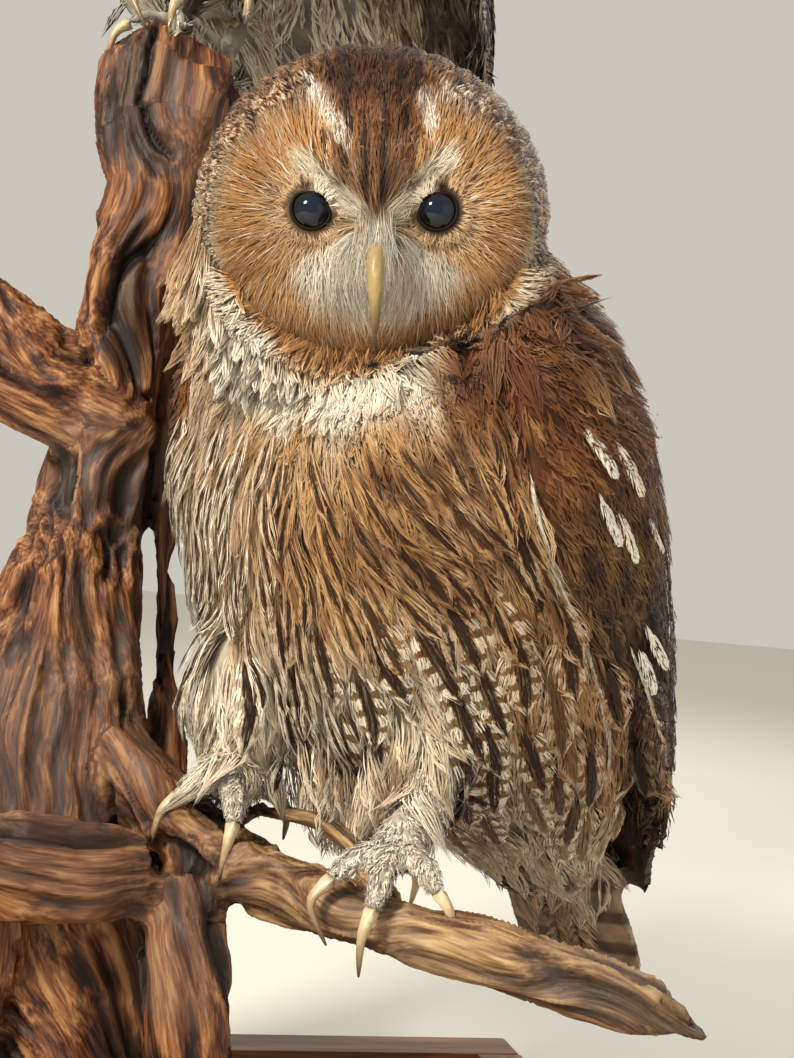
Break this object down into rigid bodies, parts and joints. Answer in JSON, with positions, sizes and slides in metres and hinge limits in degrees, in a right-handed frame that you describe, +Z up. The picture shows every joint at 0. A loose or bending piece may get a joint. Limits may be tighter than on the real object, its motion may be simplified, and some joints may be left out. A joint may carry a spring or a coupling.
{
  "type": "taxidermy tawny owl",
  "caption": "Life-size mounted tawny owl perched on gnarled driftwood, with a plainer second owl above it, on a raised-rim wooden tray.",
  "frame": {"origin": "middle of the underside of the wooden tray that carries the specimen", "axes": "+Z up, +X along the tray's long side to the right, +Y towards the tray's back rail"},
  "size_m": [0.3802, 0.3776, 0.7405],
  "materials": {
    "plumage": "soft brown feathers, barred and streaked",
    "foot_feathers": "short cream feathers",
    "eye_glass": "polished near-black glass eye",
    "bill_horn": "pale satin horn",
    "claw_horn": "pale horn with darker tips",
    "second_plumage": "grey-brown feathers",
    "driftwood": "weathered reddish-brown wood with open grain",
    "tray_wood": "varnished brown wood"
  },
  "bodies": {
    "root": {"head": "plumage", "eye_left": "eye_glass", "eye_right": "eye_glass", "bill": "bill_horn", "neck": "plumage", "trunk": "plumage", "wing_left": "plumage", "wing_right": "plumage", "tail": "plumage", "leg_left": "plumage", "leg_right": "plumage", "foot_left": "foot_feathers", "foot_right": "foot_feathers", "claw_left_1": "claw_horn", "claw_left_2": "claw_horn", "claw_left_3": "claw_horn", "claw_left_4": "claw_horn", "claw_right_1": "claw_horn", "claw_right_2": "claw_horn", "claw_right_3": "claw_horn", "claw_right_4": "claw_horn", "companion_owl": "second_plumage", "driftwood": "driftwood", "base_panel": "tray_wood", "base_rail_back": "tray_wood", "base_rail_front": "tray_wood", "base_rail_left": "tray_wood", "base_rail_right": "tray_wood"}
  },
  "joints": []
}
